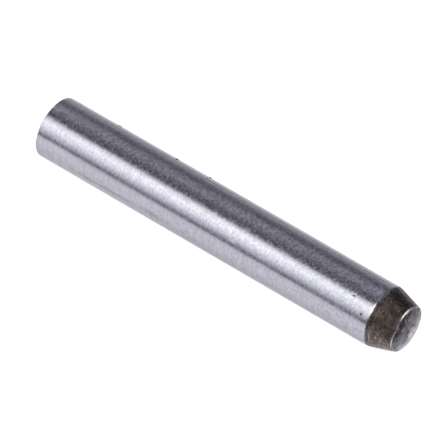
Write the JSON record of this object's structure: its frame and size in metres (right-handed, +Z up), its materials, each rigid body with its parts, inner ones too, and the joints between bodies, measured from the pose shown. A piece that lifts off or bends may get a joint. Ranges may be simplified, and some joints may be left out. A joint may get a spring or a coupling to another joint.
{
  "type": "dowel pin",
  "caption": "Hardened and ground steel dowel pin with a tapered lead at one end and a crowned face at each end, pressed into a reamed hole to locate two parts.",
  "frame": {"origin": "on the pin's axis, halfway along the cylindrical shank", "axes": "+X along the axis, out of the tapered lead end; +Z up, with the pin on its side"},
  "size_m": [0.0413, 0.006, 0.006],
  "materials": {
    "ground_steel": "satin ground shank with fine marks round it, and dark brown heat-treatment scale left on the taper and the crowned ends"
  },
  "bodies": {
    "root": {"dowel_pin": "ground_steel"}
  },
  "joints": []
}
